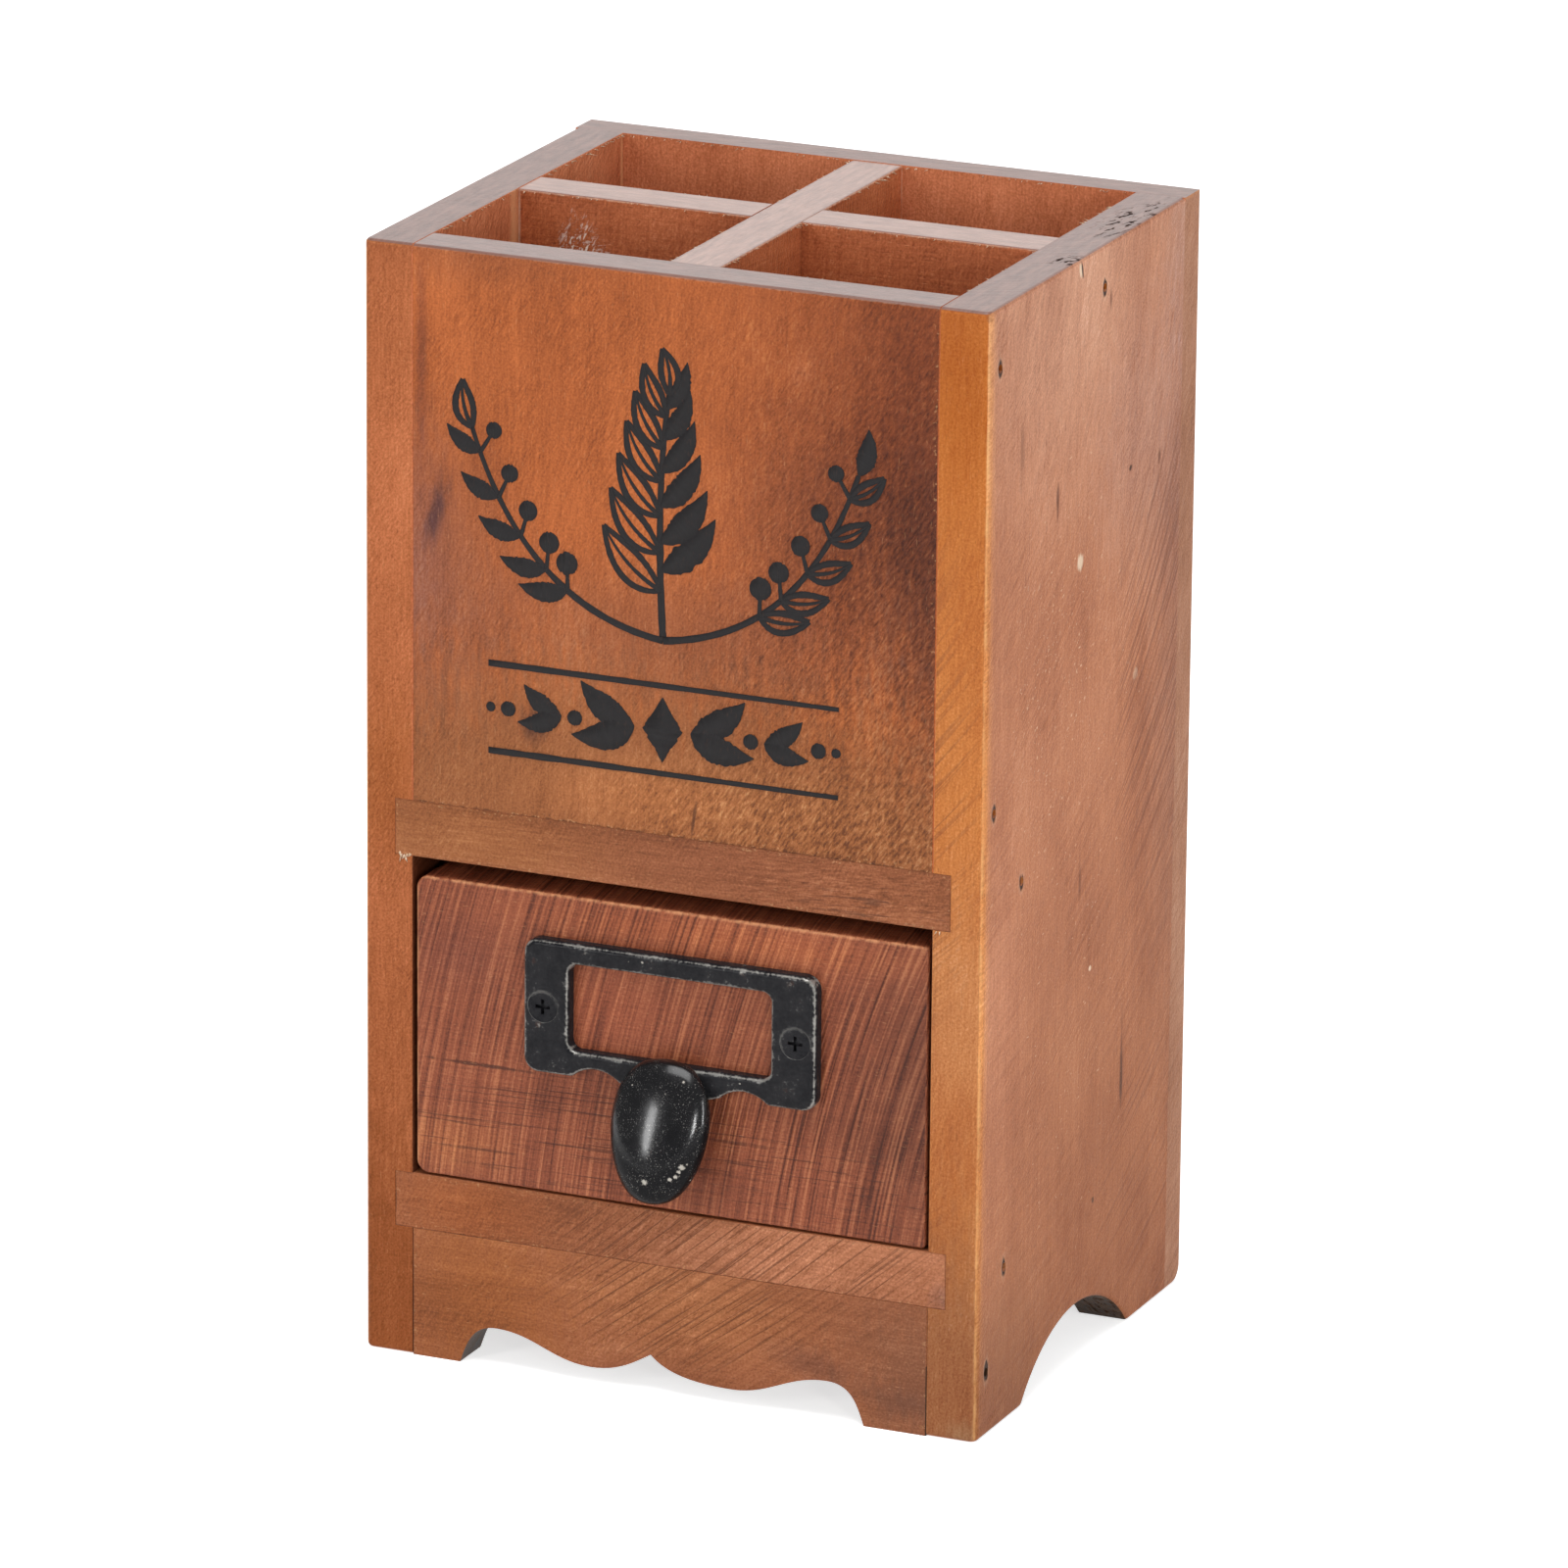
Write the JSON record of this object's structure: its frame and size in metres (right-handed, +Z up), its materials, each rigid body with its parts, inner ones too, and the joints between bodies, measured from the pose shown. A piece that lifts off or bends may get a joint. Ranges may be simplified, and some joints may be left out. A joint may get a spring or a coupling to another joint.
{
  "type": "desk organizer with drawer",
  "caption": "Upright wooden desk organizer: open pen compartments above a sliding drawer with a cast label-frame pull, on arched feet with a scalloped apron.",
  "frame": {"origin": "on the table, under the middle of the whole object's box, its pull included", "axes": "+Z up, +X to the right across the front, +Y from the front to the back"},
  "size_m": [0.11, 0.1005, 0.19],
  "materials": {
    "side_wood": "stained and satin lacquered",
    "front_wood": "stained and satin lacquered",
    "back_wood": "stained and satin lacquered",
    "shelf_wood": "stained and satin lacquered",
    "apron_wood": "stained and satin lacquered",
    "divider_wood": "stained and satin lacquered",
    "drawer_front_wood": "stained and satin lacquered",
    "drawer_box_wood": "bare, lightly sanded",
    "drawer_ply": "bare plywood",
    "cast_metal": "blackened casting, edges rubbed bright",
    "screw_metal": "blackened steel",
    "brad_steel": "dull steel, stained over"
  },
  "bodies": {
    "carcass": {"left_side": "side_wood", "right_side": "side_wood", "front_panel": "front_wood", "back_panel": "back_wood", "compartment_floor": "shelf_wood", "drawer_floor": "shelf_wood", "apron": "apron_wood", "long_divider": "divider_wood", "cross_divider": "divider_wood", "front_panel_brads": "brad_steel", "compartment_floor_brads": "brad_steel", "drawer_floor_brads": "brad_steel", "apron_brads": "brad_steel", "cross_divider_brads": "brad_steel", "long_divider_brads": "brad_steel", "back_panel_brads": "brad_steel"},
    "drawer": {"drawer_front": "drawer_front_wood", "drawer_left_side": "drawer_box_wood", "drawer_right_side": "drawer_box_wood", "drawer_back": "drawer_box_wood", "drawer_bottom": "drawer_ply", "label_pull": "cast_metal", "label_pull_screws": "screw_metal", "drawer_front_brads": "brad_steel", "drawer_back_brads": "brad_steel"}
  },
  "joints": [
    {"name": "drawer_slide", "type": "slide", "parent": "carcass", "child": "drawer", "axis": [0, -1, 0], "range_m": [0, 0.065]}
  ]
}
